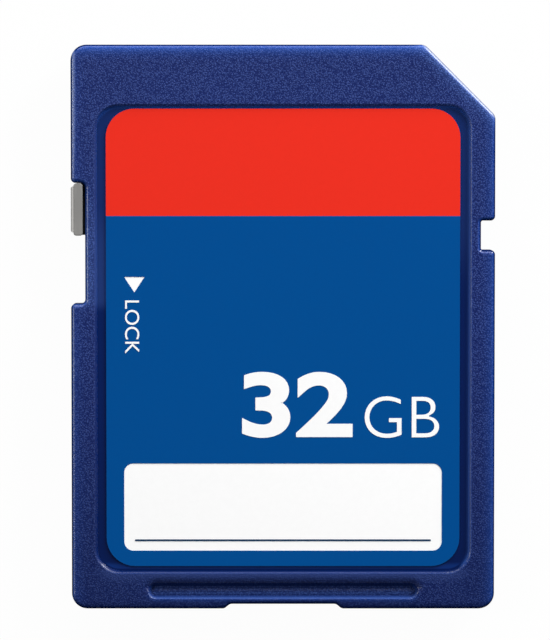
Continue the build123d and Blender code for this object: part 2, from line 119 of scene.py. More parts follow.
class HousingLook(bpy.types.PropertyGroup):
    """Spark-eroded blue plastic of the two shells."""

    peaks: colour_property("Peaks", "Colour on the grain's peaks", srgb(53, 76, 143))
    pits: colour_property("Pits", "Colour in the grain's pits", srgb(0, 25, 90))
    # Colour of the darker clouds, and of painted shade towards the lower end, on the brink and on what is
    # turned from the light.
    cloud_and_shade: colour_property("Deep", "Colour that the lower end leans to", (0.0, 0.005, 0.042))
    polished: colour_property("Polished", "Colour of the smooth recess", srgb(2, 27, 84))
    # Colour of painted light on the edges, rims and recess walls that face the lamps, and on the recess floor
    # below the label.
    edges: colour_property("Edges", "Colour of the edges that let light in", (0.012, 0.085, 0.45))
    # Colour of painted light at the cut corner, the lock notch, the recess lips, the left edge and in the
    # finger groove.
    lit: colour_property("Lit", "Colour where light shines through the plastic", (0.071, 0.152, 0.483))
    # Colour of painted highlights on the upper left edge, the cut corner's line, the lower recess arc and the
    # groove's ends.
    painted_highlight: colour_property("Rubbed", "Colour of the edges that handling has rubbed pale", (0.3, 0.33, 0.42))
    # Reach and shares of the painted edge light.
    edge_reach: length_property("Edge reach", "How far light reaches in from an edge", 1.2 * MM)
    edge_top: share_property("Edge light, contact end", "Share of the edge colour at the contact end", 0.85)
    edge_right: share_property("Edge light, right", "Share of the edge colour on the right", 0.4)
    edge_left: share_property("Edge light, left", "Share of the edge colour on the left", 0.22)
    edge_rims: share_property("Edge light, rims", "Share of the edge colour on the other rims", 0.22)
    # Shares of the painted light at the cut corner and the lock notch.
    shine_cut: share_property("Light through, cut corner", "Share of the lit colour at the cut corner", 0.9)
    shine_notch: share_property("Light through, notch", "Share of the lit colour at the lock notch", 0.3)
    grain_size: length_property("Grain size", "Width of one pebble of the grain", 0.09 * MM)
    grain_depth: length_property("Grain depth", "Height of the grain's relief", 0.017 * MM)
    cove_rise: length_property("Cove rise", "How far the recess floor sweeps up to its wall", 0.06 * MM)
    ridge_drop: length_property("Ridge drop", "How far the face falls off to the finger groove", 0.12 * MM)
    roughness: share_property("Roughness", "Roughness of the eroded plastic", 0.42)
    polish: share_property("Polish", "Roughness of the recess and the edges", 0.18)


class LabelLook(bpy.types.PropertyGroup):
    """Printed film in the recess."""

    film: colour_property("Film", "Colour of the bare film", (0.97, 0.97, 0.97))
    red: colour_property("Red ink", "Colour of the upper band", srgb(229, 46, 32))
    blue: colour_property("Blue ink", "Colour of the field", srgb(0, 74, 141))
    line: colour_property("Line ink", "Colour of the writing line", srgb(4, 50, 84))
    white: colour_property("White ink", "Colour of the lettering", (0.95, 0.95, 0.95))
    roughness: share_property("Roughness", "Roughness of the inks", 0.36)
    ink_height: length_property("Ink height", "Thickness of the lettering's ink", 0.012 * MM)
    capacity: StringProperty(name="Capacity", description="Plain number on the label", default="32")
    unit: StringProperty(name="Unit", description="Unit after the number", default="GB")


class SliderLook(bpy.types.PropertyGroup):
    """Grey plastic of the lock slider."""

    plastic: colour_property("Plastic", "Colour of the slider", srgb(136, 135, 133))
    roughness: share_property("Roughness", "Roughness of the slider", 0.5)


class BoardLook(bpy.types.PropertyGroup):
    """Board, contacts and the parts soldered on it."""

    mask: colour_property("Solder mask", "Colour of the board's lacquer", srgb(18, 74, 46))
    gold: colour_property("Gold", "Colour of the contact plating", (0.86, 0.57, 0.22))
    epoxy: colour_property("Epoxy", "Colour of the chip packages", srgb(34, 34, 36))
    ceramic: colour_property("Ceramic", "Colour of the capacitors", srgb(156, 118, 82))
    resistive: colour_property("Glaze", "Colour of the resistors", srgb(24, 25, 30))
    tin: colour_property("Tin", "Colour of solder and tinned ends", (0.62, 0.62, 0.6))
    terminal: length_property("Terminal", "Length of a tinned end", 0.25 * MM)
    fillet: length_property("Solder fillet", "Reach of the solder from a tinned end", 0.16 * MM)
    climb: share_property("Solder climb", "Share of a tinned end's height that the solder climbs", 0.7)


class StudioLook(bpy.types.PropertyGroup):
    """Camera, lamps, floor and backdrop."""

    lens: number_property("Lens", "Focal length of the camera, in millimetres", 200.0)
    scale: number_property("Scale", "Pixels of the picture for each millimetre", 17.67)
    aim_x: place_property("Aim across", "Point looked at, across the card", -0.454 * MM)
    aim_y: place_property("Aim along", "Point looked at, along the card", 0.45 * MM)
    tilt: FloatProperty(
        name="Tilt",
        description="Lean of the camera to the contact end",
        subtype="ANGLE",
        default=math.radians(3.0),
    )
    key: number_property("Key", "Radiance of the softbox at the contact end", 4.9)
    left: number_property("Left", "Radiance of the left softbox", 26.0)
    right: number_property("Right", "Radiance of the right softbox", 4.0)
    glint: number_property("Glint", "Radiance of the narrow corner lamp", 41.0)
    sky: number_property("Sky", "Strength of the even light", 0.08)
    backdrop: share_property("Backdrop glow", "Share of the floor that shows as plain white", 0.97)
    mirrored: share_property("Mirrored glow", "That share where the floor is seen in a reflection", 0.12)


class MemoryCardLook(bpy.types.PropertyGroup):
    """All that a user may change."""

    housing: PointerProperty(type=HousingLook)
    label: PointerProperty(type=LabelLook)
    slider: PointerProperty(type=SliderLook)
    board: PointerProperty(type=BoardLook)
    studio: PointerProperty(type=StudioLook)


def looks():
    return bpy.context.scene.memory_card


class Value:
    """A number socket that joins in Python sums: each operator adds one Math node."""

    def __init__(self, graph, socket):
        self.graph = graph
        self.socket = socket

    def math(self, operation, *terms):
        return self.graph.value("ShaderNodeMath", {"operation": operation}, dict(enumerate(terms)))

    def __add__(self, other):
        return self.math("ADD", self, other)

    __radd__ = __add__

    def __sub__(self, other):
        return self.math("SUBTRACT", self, other)

    def __rsub__(self, other):
        return self.math("SUBTRACT", other, self)

    def __mul__(self, other):
        return self.math("MULTIPLY", self, other)

    __rmul__ = __mul__

    def __truediv__(self, other):
        return self.math("DIVIDE", self, other)

    def __rtruediv__(self, other):
        return self.math("DIVIDE", other, self)

    def __pow__(self, other):
        return self.math("POWER", self, other)

    def __abs__(self):
        return self.math("ABSOLUTE", self)

    def higher(self, other):
        return self.math("MAXIMUM", self, other)

    def lower(self, other):
        return self.math("MINIMUM", self, other)

    def below(self, other):
        """1 where this is less than the other and 0 elsewhere."""
        return self.math("LESS_THAN", self, other)

    def sine(self):
        return self.math("SINE", self)

    def cosine(self):
        return self.math("COSINE", self)

    def off_middle(self, pitch):
        """Distance from the middle of each pitch, where pitches follow one another from 0."""
        return abs(self.math("FLOORED_MODULO", self, pitch) - pitch / 2)

    def ease(self, start, end):
        """0 at start, 1 at end, smooth between them."""
        return self.graph.value(
            "ShaderNodeMapRange",
            {"interpolation_type": "SMOOTHSTEP"},
            {"Value": self, "From Min": start, "From Max": end, "To Min": 0.0, "To Max": 1.0},
            "Result",
        )

    def band(self, start, full, fading, end):
        """0 up to start, 1 from full to fading and 0 again from end."""
        return self.ease(start, full) * self.ease(end, fading)


def strongest(first, *others):
    """The highest of some values."""
    for other in others:
        first = first.higher(other)
    return first


class Graph:
    """A node tree under construction."""

    def __init__(self, tree):
        self.tree = tree

    def node(self, kind, settings=None, inputs=None):
        """Adds a node, sets its own settings first and then the values or links of its sockets."""
        made = self.tree.nodes.new(kind)
        for key, setting in (settings or {}).items():
            setattr(made, key, setting)
        for key, given in (inputs or {}).items():
            self.feed(socket_of(made.inputs, key), given)
        return made

    def feed(self, socket, given):
        if isinstance(given, Value):
            given = given.socket
        if isinstance(given, bpy.types.NodeSocket):
            self.tree.links.new(given, socket)
        elif socket.type == "RGBA":
            socket.default_value = (*given[:3], 1.0)
        else:
            socket.default_value = given

    def output(self, kind, settings=None, inputs=None, name=0):
        return socket_of(self.node(kind, settings, inputs).outputs, name)

    def value(self, kind, settings=None, inputs=None, name=0):
        return Value(self, self.output(kind, settings, inputs, name))


def socket_of(sockets, key):
    """The socket with that place, identifier or name."""
    if isinstance(key, int):
        return sockets[key]
    for socket in sockets:
        if socket.identifier == key:
            return socket
    return sockets[key]


PEBBLE_EDGE = 0.75


class Finish(Graph):
    """A procedural material under construction. Its patterns lie on Object coordinates."""

    def __init__(self, name):
        self.material = bpy.data.materials.new(name)
        self.material.use_nodes = True
        super().__init__(self.material.node_tree)
        self.tree.nodes.clear()
        self.place = self.output("ShaderNodeTexCoord", name="Object")

    def parts(self, vector):
        """The three numbers of a vector."""
        split = self.node("ShaderNodeSeparateXYZ", None, {"Vector": vector})
        return [Value(self, split.outputs[axis]) for axis in ("X", "Y", "Z")]

    def axes(self):
        """The place on the card in millimetres: across, along and up."""
        return [part * PER_MM for part in self.parts(self.place)]

    def facing(self):
        """How far the surface looks across, along and up, each from -1 to 1."""
        return self.parts(self.output("ShaderNodeNewGeometry", name="Normal"))

    def stretched(self, stretch):
        """Object coordinates, stretched along each axis so many times."""
        scale = tuple(1.0 / times for times in stretch)
        return self.output("ShaderNodeMapping", None, {"Vector": self.place, "Scale": scale})

    def noise(self, size, detail=2.0, roughness=0.5, stretch=(1.0, 1.0, 1.0)):
        """Soft noise whose blobs are about size across, from 0 to 1."""
        inputs = {
            "Vector": self.stretched(stretch),
            "Scale": 1.0 / size,
            "Detail": detail,
            "Roughness": roughness,
        }
        return self.value("ShaderNodeTexNoise", None, inputs)

    def pebbles(self, size, smoothness=0.35):
        """Rounded pebbles about size across: 1 on their tops and 0 in the gaps."""
        inputs = {"Vector": self.place, "Scale": 1.0 / size, "Smoothness": smoothness}
        cell = self.value("ShaderNodeTexVoronoi", {"feature": "SMOOTH_F1"}, inputs, "Distance")
        return 1.0 - cell.ease(0.0, PEBBLE_EDGE)

    def blend(self, share, first, second):
        """The first colour where share is 0 and the second where it is 1."""
        inputs = {"Factor_Float": share, "A_Color": first, "B_Color": second}
        return self.output("ShaderNodeMix", {"data_type": "RGBA"}, inputs, "Result_Color")

    def relief(self, height, depth, under=None):
        """A bumped normal: height, from 0 to 1, stands depth high."""
        inputs = {"Height": height, "Distance": depth, "Strength": 1.0}
        if under is not None:
            inputs["Normal"] = under
        return self.output("ShaderNodeBump", None, inputs)

    def surface(self, colour, roughness, normal, metallic=0.0, dull=None, constants=None):
        """Closes the material with a Principled shader, without shine where dull is 1, and returns it."""
        inputs = {"Base Color": colour, "Roughness": roughness, "Metallic": metallic, "Normal": normal}
        inputs.update(constants or {})
        shader = self.output("ShaderNodeBsdfPrincipled", None, inputs)
        if dull is not None:
            flat = self.output("ShaderNodeBsdfPrincipled", None, {**inputs, "Specular IOR Level": 0.0})
            shader = self.mixed(dull, shader, flat)
        return self.closed(shader)

    def mixed(self, share, first, second):
        """The first shader where share is 0 and the second where it is 1."""
        return self.output("ShaderNodeMixShader", None, {0: share, 1: first, 2: second})

    def closed(self, shader):
        """Links the last shader and returns the material."""
        self.node("ShaderNodeOutputMaterial", None, {"Surface": shader})
        return self.material


def dress(names, material):
    """Gives CAD nodes their finish."""
    for name in names:
        for slot in NODES[name].material_slots:
            slot.material = material


def new_piece(name, mesh, material, body):
    """Links a finished mesh as a piece of the card."""
    mesh.materials.clear()
    mesh.materials.append(material)
    piece = bpy.data.objects.new(name, mesh)
    bpy.context.scene.collection.objects.link(piece)
    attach(piece, body)
    return piece


def plain_mesh(holder, name):
    """The evaluated shape of an object as a mesh of its own. The object is removed."""
    bpy.context.view_layer.update()
    evaluated = holder.evaluated_get(bpy.context.evaluated_depsgraph_get())
    mesh = bpy.data.meshes.new_from_object(evaluated)
    mesh.name = name
    bpy.data.objects.remove(holder)
    return mesh


def clean(mesh, merge):
    """Merges doubles and turns every face outwards."""
    build = bmesh.new()
    build.from_mesh(mesh)
    bmesh.ops.remove_doubles(build, verts=build.verts, dist=merge)
    bmesh.ops.recalc_face_normals(build, faces=build.faces)
    build.to_mesh(mesh)
    build.free()


# The moulded recess and finger groove, in millimetres, where the part's source has them.
RECESS_SIDE_MARGIN = 0.635
RECESS_TOP_MARGIN = 0.24
RECESS_LOW_MARGIN = 0.385
RECESS_RADIUS = 1.35
RECESS_WALL_RUN = 0.14
RECESS_COVE = 0.5
GROOVE_HALF_LENGTH = 7.675
GROOVE_MARGIN = 0.57
GROOVE_HEIGHT = 0.9
RIDGE_RUN = 0.42
CUT_CORNER = 4.0

# Zones by place on the card, in millimetres. A range of two is where a zone starts and where it is full.
# A range of four goes on with where the zone begins to fade and where it ends.
FRONT_UP = (1.7, 1.85)
TOP_RIM_ALONG = (11.4, 12.3)
LOW_RIM_ALONG = (-12.4, -13.2)
LEFT_RIM_ACROSS = (-9.9, -10.4)
RIGHT_RIM_ACROSS = (9.9, 10.4)
LOW_RUN_ACROSS = (-9.9, -9.1)
LOW_ARC_ACROSS = (8.8, 9.8)
LOW_ARC_ALONG = (-12.0, -12.8)
LOW_BROW_ALONG = (-13.6, -13.95)
LOW_FOOT_ALONG = (-13.3, -13.55)
UPPER_FLOOR_ALONG = (2.0, 6.0)
UPPER_EDGE_ALONG = (6.0, 12.0)
ABOVE_ROLL_ALONG = (-15.6, -14.9)
LOWER_END_SHADE_ALONG = (4.0, -18.0)
NOTCH_ACROSS = (-9.0, -9.9)
NOTCH_OUTER_ACROSS = (-10.6, -11.0)
NOTCH_ALONG = (0.8, 1.6, 4.0, 9.5)
GROOVE_RIDGE_ALONG = (-15.2, -14.7)
GROOVE_NEAR_ALONG = (-14.98, -15.1)
GROOVE_LIP_ALONG = (-15.1, -15.3)
GROOVE_END_ALONG = (-14.8, -15.1)
GROOVE_END_ACROSS = (7.1, 7.4)

# Zones by distance outside the recess, in millimetres.
LAND = (-0.16, 0.0)
LAND_INSET = 0.08
CLEAR_OF_RECESS = (0.15, 0.35)
RECESS_LIP = (-0.12, -0.05, 0.04, 0.1)
RECESS_WALL = (-0.3, -0.1, -0.1, -0.03)
TOP_LIP = (-0.12, -0.06, 0.02, 0.06)
RIGHT_LIP = (-0.16, -0.1, -0.05, 0.0)
LOW_WALL = (-0.2, -0.14, -0.06, -0.01)
LOW_ARC = (-0.07, -0.03, 0.01, 0.05)
LOW_BROW = (-0.05, 0.02, 0.0, 0.75)
LOW_FOOT = (-0.2, -0.26)

# Zones by distance outside the finger groove, in millimetres.
CLEAR_OF_GROOVE = (0.0, 0.1)
GROOVE_HOLLOW = (0.02, -0.1)
GROOVE_LIP = (-0.07, 0.0, 0.03, 0.24)
GROOVE_NEAR_LIP = (-0.06, -0.02, 0.04, 0.08)
GROOVE_END = (-0.1, -0.05, 0.0, 0.05)
GROOVE_WALL = (-0.14, -0.08, -0.03, 0.02)
GROOVE_FOOT = (-0.39, -0.34, -0.29, -0.24)

# Zones by distance in from the card's edges, in millimetres.
EDGE_LINE = (0.02, 0.16)
TOP_EDGE = (0.3, 0.1)
LEFT_EDGE_IN = (0.26, 0.1)
LEFT_EDGE_OUT = (0.05, 0.11)
LEFT_EDGE_WIDENING = 0.07
CUT_RIM = (0.3, 0.15)
CUT_LINE = (-0.02, 0.03, 0.1, 0.16)
CLEAR_OF_CUT = (0.2, 0.5)

# Zones by slope: how far the surface looks up or along the card, 1 where it looks straight there.
GRAINED_UP = (0.84, 0.98)
TINTED_UP = (0.35, 0.8)
ROUNDED_UP = (0.9999, 0.95)
BRINK_UP = (0.88, 0.66)
CLEAR_UP = (0.3, 0.75)
CUT_UP = (0.5, 0.85)
SHADED_ALONG = (-0.1, -0.5)


def outside(x, y, half_width, bottom, top, radius):
    """Distance outside a rounded outline, in millimetres, negative inside it."""
    across = abs(x) - (half_width - radius)
    along = abs(y - (top + bottom) / 2) - ((top - bottom) / 2 - radius)
    corner = (across.higher(0.0) ** 2 + along.higher(0.0) ** 2) ** 0.5
    return corner + across.higher(along).lower(0.0) - radius


def outside_recess(x, y):
    low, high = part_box("front_label")
    half_width = (high.x - low.x) * PER_MM / 2 + RECESS_SIDE_MARGIN
    top = high.y * PER_MM + RECESS_TOP_MARGIN
    bottom = low.y * PER_MM - RECESS_LOW_MARGIN
    return outside(x, y, half_width, bottom, top, RECESS_RADIUS)


def outside_groove(x, y):
    bottom = CAD_LOW.y * PER_MM + GROOVE_MARGIN
    return outside(x, y, GROOVE_HALF_LENGTH, bottom, bottom + GROOVE_HEIGHT, GROOVE_HEIGHT / 2)


SIDE_GRAIN = 0.4


class HousingZones:
    """Zones of the housing, from 0 outside to 1 inside each, and distances in millimetres."""

    def __init__(self, finish):
        self.x, self.y, z = finish.axes()
        along, up = finish.facing()[1:]
        self.level = abs(up)
        self.front = z.ease(*FRONT_UP)
        self.from_recess = outside_recess(self.x, self.y)
        self.from_groove = outside_groove(self.x, self.y)
        self.from_left = self.x - CAD_LOW.x * PER_MM
        self.from_right = CAD_HIGH.x * PER_MM - self.x
        self.from_top = CAD_HIGH.y * PER_MM - self.y
        self.from_cut = (self.from_right + self.from_top - CUT_CORNER) / 2**0.5
        # Surfaces turned from the contact end, which carry painted shade.
        self.shade = self.front * along.ease(*SHADED_ALONG)
        self.mark_sides()
        self.mark_land()
        self.mark_features()

    def mark_sides(self):
        """The sides of the recess, the groove's half at the lower end and the upper part of the left edge."""
        self.top_rim = self.y.ease(*TOP_RIM_ALONG)
        self.low_rim = self.y.ease(*LOW_RIM_ALONG)
        self.low_run = self.low_rim * self.x.ease(*LOW_RUN_ACROSS)
        self.left_rim = self.x.ease(*LEFT_RIM_ACROSS)
        self.right_rim = self.x.ease(*RIGHT_RIM_ACROSS)
        self.groove_near = self.front * self.y.ease(*GROOVE_NEAR_ALONG)
        self.upper_edge = self.y.ease(*UPPER_EDGE_ALONG)

    def mark_land(self):
        """The eroded face round the recess, its grain and its tint, and the brink where it rolls off."""
        sides = 1.0 - self.front
        inset = self.low_rim.higher(self.left_rim) * LAND_INSET
        self.land = (self.from_recess - inset).ease(*LAND).higher(sides)
        self.grained = self.land * self.level.ease(*GRAINED_UP).higher(sides * SIDE_GRAIN)
        self.tinted = self.land * self.level.ease(*TINTED_UP).higher(sides * SIDE_GRAIN)
        self.off_hollows = self.from_recess.ease(*CLEAR_OF_RECESS) * self.from_groove.ease(*CLEAR_OF_GROOVE)
        self.open_land = self.front * self.off_hollows
        # The brink, where the face rolls off, carries painted shade.
        self.brink = self.open_land * self.level.ease(*BRINK_UP) * self.from_cut.ease(*CLEAR_OF_CUT)

    def mark_features(self):
        """The recess's lip and walls, the hollow of the groove and the lip of the left edge."""
        self.recess_lip = self.front * self.from_recess.band(*RECESS_LIP)
        self.recess_wall = self.front * self.from_recess.band(*RECESS_WALL)
        self.far_wall = self.recess_wall * self.top_rim.higher(self.right_rim)
        # The lower recess wall carries painted shade.
        self.low_wall = self.front * self.low_run * self.from_recess.band(*LOW_WALL)
        self.groove = self.front * self.from_groove.ease(*GROOVE_HOLLOW)
        left_lip = (self.from_left - self.upper_edge * LEFT_EDGE_WIDENING).ease(*LEFT_EDGE_IN)
        self.left_lip = self.front * left_lip * self.from_left.ease(*LEFT_EDGE_OUT)


# Shares of the painted edge light: its line and fall in from an edge, its lips and walls, and how much the
# brink takes away.
EDGE_LINE_SHARE = 0.5
EDGE_FADE = 3
GROOVE_LIP_LIGHT = 0.5
LOW_LIP_LIGHT = 0.3
TOP_WALL_LIGHT = 2.2
RIGHT_WALL_LIGHT = 1.3
LOW_FOOT_LIGHT = 0.7
BRINK_BLOCKS = 0.8


def fading(look, distance):
    """Strongest a little in from an edge, and 0 as far in as the edge's light reaches."""
    reach = look.edge_reach * PER_MM
    inwards = ((reach - distance).higher(0.0) / reach) ** EDGE_FADE
    return inwards * (EDGE_LINE_SHARE + distance.ease(*EDGE_LINE) * (1.0 - EDGE_LINE_SHARE))


def painted_edge_light(zones, look):
    """Share of the edge colour: painted light on the outer edges and rims that face the lamps, and on the top
    and right recess walls and the recess floor below the label, where it lifts their shade.
    """
    top = fading(look, zones.from_top) * look.edge_top
    right = fading(look, zones.from_right) * look.edge_right
    left = fading(look, zones.from_left) * look.edge_left
    outer = (top + right + left).lower(1.0) * zones.front

    rounded = zones.open_land * zones.level.ease(*ROUNDED_UP) * zones.y.ease(*ABOVE_ROLL_ALONG)
    groove_lip = zones.front * zones.from_groove.band(*GROOVE_LIP) * zones.y.ease(*GROOVE_LIP_ALONG)
    recess_lip = zones.recess_lip * zones.right_rim.higher(zones.low_rim * LOW_LIP_LIGHT)
    rims = strongest(rounded, groove_lip * GROOVE_LIP_LIGHT, recess_lip) * look.edge_rims
    clear = outer.higher(rims) * zones.level.ease(*CLEAR_UP) * (1.0 - zones.brink * BRINK_BLOCKS)

    # Painted light on the top and right recess walls, and on the recess floor below the label where the
    # label's shadow falls.
    top_wall = zones.recess_wall * zones.top_rim
    right_wall = zones.recess_wall * zones.right_rim
    foot = zones.front * zones.from_recess.ease(*LOW_FOOT) * zones.y.ease(*LOW_FOOT_ALONG)
    walls = strongest(top_wall * TOP_WALL_LIGHT, right_wall * RIGHT_WALL_LIGHT, foot * LOW_FOOT_LIGHT)
    return clear.higher(walls * look.edge_rims)


# Shares of the painted light in each place, and how the grain speckles it.
NOTCH_INNER_SHINE = 0.5
UPPER_FLOOR_SHINE = 0.07
TOP_LIP_SHINE = 0.12
RIGHT_LIP_SHINE = 0.22
LEFT_LIP_SHINE = 0.35
LEFT_LIP_UPPER_SHINE = 0.36
GROOVE_SHINE = 0.08
GROOVE_WALL_SHINE = 0.18
GROOVE_FOOT_SHINE = 0.16
SHINE_MIDDLE = 0.42
SHINE_GRAIN = 1.2


def painted_light_through(zones, look, speck):
    """Share of the lit colour: painted light at the cut corner, the lock notch, the upper recess floor, the
    recess lips, the left edge and in the finger groove, speckled by the grain.
    """
    cut = zones.front * fading(look, zones.from_cut) * look.shine_cut * zones.level.ease(*CUT_UP)
    notch = zones.front * zones.x.ease(*NOTCH_ACROSS) * zones.y.band(*NOTCH_ALONG) * look.shine_notch
    notch *= NOTCH_INNER_SHINE + zones.x.ease(*NOTCH_OUTER_ACROSS) * (1.0 - NOTCH_INNER_SHINE)
    floor = zones.front * (1.0 - zones.land) * zones.y.ease(*UPPER_FLOOR_ALONG) * UPPER_FLOOR_SHINE
    top_lip = zones.front * zones.top_rim * zones.from_recess.band(*TOP_LIP) * TOP_LIP_SHINE
    right_lip = zones.front * zones.right_rim * zones.from_recess.band(*RIGHT_LIP) * RIGHT_LIP_SHINE
    left_lip = zones.left_lip * (LEFT_LIP_SHINE + zones.upper_edge * LEFT_LIP_UPPER_SHINE)
    groove_wall = zones.groove_near * zones.from_groove.band(*GROOVE_WALL) * GROOVE_WALL_SHINE
    groove_foot = zones.groove_near * zones.from_groove.band(*GROOVE_FOOT) * GROOVE_FOOT_SHINE
    groove = groove_wall + groove_foot + zones.groove * GROOVE_SHINE
    shine = strongest(cut, notch, floor, top_lip, right_lip, left_lip, groove)
    return shine * (1.0 + zones.grained * (speck - SHINE_MIDDLE) * SHINE_GRAIN)


# Shares of the painted highlights.
LEFT_LIP_HIGHLIGHT = 0.2
CUT_LINE_HIGHLIGHT = 0.45
SPECKED_HIGHLIGHT = 0.3


def pale_painted_highlights(zones, speck):
    """Share of the pale colour: painted highlights on the upper left edge and the cut corner's line, and
    speckled ones on the lower recess arc and the groove's ends.
    """
    left = zones.left_lip * zones.upper_edge * LEFT_LIP_HIGHLIGHT
    cut = zones.front * zones.from_cut.band(*CUT_LINE) * CUT_LINE_HIGHLIGHT
    arc = zones.from_recess.band(*LOW_ARC) * zones.x.ease(*LOW_ARC_ACROSS) * zones.y.ease(*LOW_ARC_ALONG)
    groove_ends = abs(zones.x).ease(*GROOVE_END_ACROSS) * zones.y.ease(*GROOVE_END_ALONG)
    groove_ends *= zones.from_groove.band(*GROOVE_END)
    return strongest(left, cut, zones.front * arc.higher(groove_ends) * speck * SPECKED_HIGHLIGHT)


# Clouds of darker tone, and the shares of painted shade.
CLOUD_SIZE = 3.0 * MM
CLOUD = (0.35, 0.65)
CLOUD_DEPTH = 0.05
LOWER_END_SHADE = 0.45
SHADE_DEPTH = 0.6
DARKEST_SHADE = 0.85


def clouds_and_painted_shade(finish, zones):
    """Share of the dark colour: soft clouds, and painted shade towards the lower end, on the brink, on what
    is turned from the light and on the lower recess wall.
    """
    cloud = finish.noise(CLOUD_SIZE, detail=3.0)
    depth = cloud.ease(*CLOUD) * CLOUD_DEPTH + zones.y.ease(*LOWER_END_SHADE_ALONG) * LOWER_END_SHADE
    shade = zones.shade * zones.off_hollows * SHADE_DEPTH
    return depth.higher(strongest(zones.brink, shade, zones.low_wall) * DARKEST_SHADE)


FINE_ROUGHNESS = 0.7
ROUGHER_EACH_MM = 0.0022
WALL_ROUGHNESS = 0.35
LIP_ROUGHNESS = 0.15
CUT_RIM_ROUGHNESS = 0.18


def housing_roughness(zones, look, fine):
    """Rough on the grain, polished in the recess, and a little rougher on walls, lips and the cut corner."""
    grain = look.roughness - look.polish + (fine - 0.5) * FINE_ROUGHNESS + zones.y * ROUGHER_EACH_MM
    cut_rim = zones.front * zones.from_cut.ease(*CUT_RIM) * CUT_RIM_ROUGHNESS
    smooth = look.polish + zones.far_wall * WALL_ROUGHNESS + zones.recess_lip * LIP_ROUGHNESS + cut_rim
    return (smooth + zones.grained * grain).lower(1.0)


SHADE_DULL = 0.8
WALL_DULL = 0.6
GROOVE_DULL = 0.35
LOW_LIP_DULL = 0.55
LOW_WALL_DULL = 0.7
NEAR_LIP_DULL = 0.6
TOP_EDGE_DULL = 0.4


def dulled(zones):
    """Share of the surface without shine: brinks, walls and lips that mirror no lamp."""
    near_lip = zones.groove_near * zones.from_groove.band(*GROOVE_NEAR_LIP)
    top_edge = zones.front * zones.from_top.ease(*TOP_EDGE)
    return strongest(
        zones.brink,
        zones.shade * SHADE_DULL,
        zones.far_wall * WALL_DULL,
        zones.groove * GROOVE_DULL,
        zones.recess_lip * zones.low_run * LOW_LIP_DULL,
        zones.low_wall * LOW_WALL_DULL,
        near_lip * NEAR_LIP_DULL,
        top_edge * TOP_EDGE_DULL,
    )


def housing_relief(finish, zones, look, grain):
    """The recess floor's sweep up to its wall, the face's fall to the groove, and the grain."""
    cove = (RECESS_COVE + zones.from_recess).lower(RECESS_COVE - RECESS_WALL_RUN).higher(0.0) / RECESS_COVE
    fall = (RIDGE_RUN - zones.from_groove.higher(0.0)).higher(0.0) / RIDGE_RUN
    fall *= zones.y.ease(*GROOVE_RIDGE_ALONG)
    swept = finish.relief(cove * cove * zones.front, look.cove_rise)
    ridged = finish.relief(1.0 - fall * fall * zones.front, look.ridge_drop, swept)
    return finish.relief(grain * zones.grained, look.grain_depth, ridged)


FINE_TO_PEBBLE = 0.6
PEBBLE_SHARE = 0.5
FINE_SHARE = 0.6
SPECK = (0.3, 0.85)
LOW_BROW_LIGHT = 0.62
HOUSING_IOR = 1.49


def housing_finish(look):
    """Blue plastic with a spark-eroded grain outside and a smooth recess, with painted light on its edges,
    rims and lips and painted shade towards its lower end and on what is turned from the light.
    """
    finish = Finish("housing_plastic")
    zones = HousingZones(finish)
    fine = finish.noise(look.grain_size * FINE_TO_PEBBLE, roughness=0.6)
    grain = finish.pebbles(look.grain_size) * PEBBLE_SHARE + fine * FINE_SHARE
    speck = grain.ease(*SPECK)
    # Painted light on the land just below the recess's lower rim, which the eroded colour takes.
    painted_brow_light = zones.front * zones.from_recess.band(*LOW_BROW) * zones.y.ease(*LOW_BROW_ALONG)

    specked = finish.blend(speck, look.pits, look.peaks)
    eroded = finish.blend(painted_brow_light * LOW_BROW_LIGHT, specked, look.peaks)
    face = finish.blend(zones.tinted, look.polished, eroded)
    # Painted shade, painted edge light, painted light through and painted highlights go over the face colour
    # in turn.
    toned_and_shaded = finish.blend(clouds_and_painted_shade(finish, zones), face, look.cloud_and_shade)
    edge_lit = finish.blend(painted_edge_light(zones, look), toned_and_shaded, look.edges)
    lit = finish.blend(painted_light_through(zones, look, speck), edge_lit, look.lit)
    colour = finish.blend(pale_painted_highlights(zones, speck), lit, look.painted_highlight)
    roughness = housing_roughness(zones, look, fine)
    normal = housing_relief(finish, zones, look, grain)
    return finish.surface(colour, roughness, normal, dull=dulled(zones), constants={"IOR": HOUSING_IOR})


# How much of a noise counts: the level that is 0 and the level that is 1.
SOFT = (0.3, 0.7)
PATCHY = (0.35, 0.7)

INK_MOTTLE = 0.3 * MM
INK_MOTTLE_SHARE = 0.5
INK_MOTTLE_TONE = 0.975
INK_MOTTLE_ROUGHNESS = 0.12
INK_PEEL = 0.55 * MM
INK_PEEL_DEPTH = 0.0012 * MM
INK_SHINE = {"IOR": 1.45, "Specular IOR Level": 0.14}


def ink_finish(name, colour, roughness):
    """A flat printed colour with the faint mottle and orange peel of screen ink."""
    finish = Finish(name)
    mottle = finish.noise(INK_MOTTLE, detail=3.0)
    peel = finish.noise(INK_PEEL, detail=1.0)
    tone = finish.blend(mottle.ease(*SOFT) * INK_MOTTLE_SHARE, colour, scaled(colour, INK_MOTTLE_TONE))
    normal = finish.relief(peel, INK_PEEL_DEPTH)
    uneven = roughness + (mottle - 0.5) * INK_MOTTLE_ROUGHNESS
    return finish.surface(tone, uneven, normal, constants=INK_SHINE)


